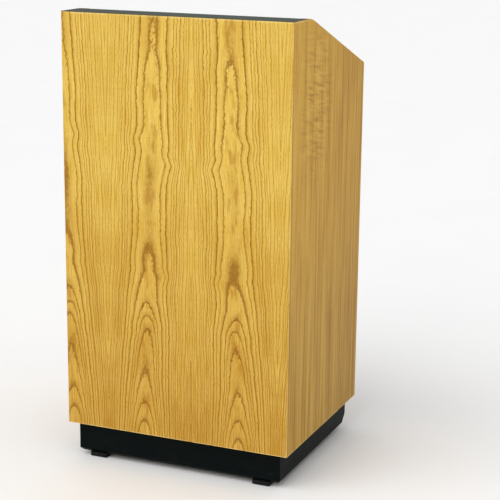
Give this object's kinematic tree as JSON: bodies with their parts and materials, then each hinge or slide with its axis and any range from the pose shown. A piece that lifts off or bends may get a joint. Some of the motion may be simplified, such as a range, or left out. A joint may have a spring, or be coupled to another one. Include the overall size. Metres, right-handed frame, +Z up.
{
  "type": "pulpit",
  "caption": "Floor-standing oak-veneered pulpit: tall cabinet open to the speaker, level ledge, sloping reading top, recessed black plinth on feet, tilt wheels and a loose inner shelf.",
  "frame": {"origin": "on the floor, at the centre of the cabinet's footprint", "axes": "+Z up, -Y towards the audience (front panel), +Y towards the speaker, +X to the audience's right"},
  "size_m": [0.635, 0.53, 1.2],
  "materials": {
    "oak_veneer_front": "satin lacquer over crown-cut oak veneer",
    "oak_veneer_side": "satin lacquer over straight-grained oak veneer",
    "oak_veneer_inner": "satin lacquer over straight-grained oak veneer",
    "oak_solid": "satin lacquer on solid oak",
    "charcoal_laminate": "fine-textured high-pressure laminate",
    "raw_wood": "planed, unfinished",
    "black_paint": "satin black paint on wood board",
    "foot_plastic": "moulded, matte",
    "zinc_steel": "bright zinc plate",
    "wheel_plastic": "moulded nylon",
    "wheel_tyre": "moulded thermoplastic rubber",
    "bush_plastic": "acetal"
  },
  "bodies": {
    "cabinet": {"front_panel": "oak_veneer_front", "side_panel_left": "oak_veneer_side", "side_panel_right": "oak_veneer_side", "side_edge_band_left": "oak_solid", "side_edge_band_right": "oak_solid", "ledge_board": "oak_veneer_inner", "ledge_laminate": "charcoal_laminate", "top_rail": "oak_veneer_inner", "reading_board": "oak_veneer_inner", "reading_laminate": "charcoal_laminate", "reading_edge_band": "oak_solid", "book_stop": "oak_solid", "book_stop_screws": "zinc_steel", "rear_apron": "oak_veneer_inner", "apron_cleats": "raw_wood", "shelf_pins": "zinc_steel", "bottom_panel": "oak_veneer_inner", "bottom_edge_band": "oak_solid", "corner_cleat_left": "raw_wood", "corner_cleat_right": "raw_wood", "bottom_cleat_left": "raw_wood", "bottom_cleat_right": "raw_wood", "reading_batten_left": "raw_wood", "reading_batten_right": "raw_wood", "ledge_cleat": "raw_wood", "cleat_screws": "zinc_steel", "plinth_front": "black_paint", "plinth_side_left": "black_paint", "plinth_side_right": "black_paint", "plinth_rear": "black_paint", "plinth_blocks": "raw_wood", "plinth_screws": "zinc_steel", "foot_front_left": "foot_plastic", "foot_front_right": "foot_plastic", "foot_rear_left": "foot_plastic", "foot_rear_right": "foot_plastic", "foot_screws": "zinc_steel", "castor_packer_left": "raw_wood", "castor_packer_right": "raw_wood", "castor_fork_left": "zinc_steel", "castor_fork_right": "zinc_steel", "castor_axle_left": "zinc_steel", "castor_axle_right": "zinc_steel", "castor_screws": "zinc_steel"},
    "shelf": {"shelf": "oak_veneer_inner", "shelf_edge_band": "oak_solid"},
    "left_wheel": {"castor_wheel_left": "wheel_plastic", "castor_tyre_left": "wheel_tyre", "castor_bush_left": "bush_plastic"},
    "right_wheel": {"castor_wheel_right": "wheel_plastic", "castor_tyre_right": "wheel_tyre", "castor_bush_right": "bush_plastic"}
  },
  "joints": [
    {"name": "shelf_slide", "type": "slide", "parent": "cabinet", "child": "shelf", "axis": [0, 1, 0], "range_m": [0, 0.15]},
    {"name": "left_wheel_spin", "type": "hinge", "parent": "cabinet", "child": "left_wheel", "pos_m": [-0.24, 0.205, 0.027], "axis": [1, 0, 0], "continuous": true},
    {"name": "right_wheel_spin", "type": "hinge", "parent": "cabinet", "child": "right_wheel", "pos_m": [0.24, 0.205, 0.027], "axis": [1, 0, 0], "continuous": true}
  ]
}
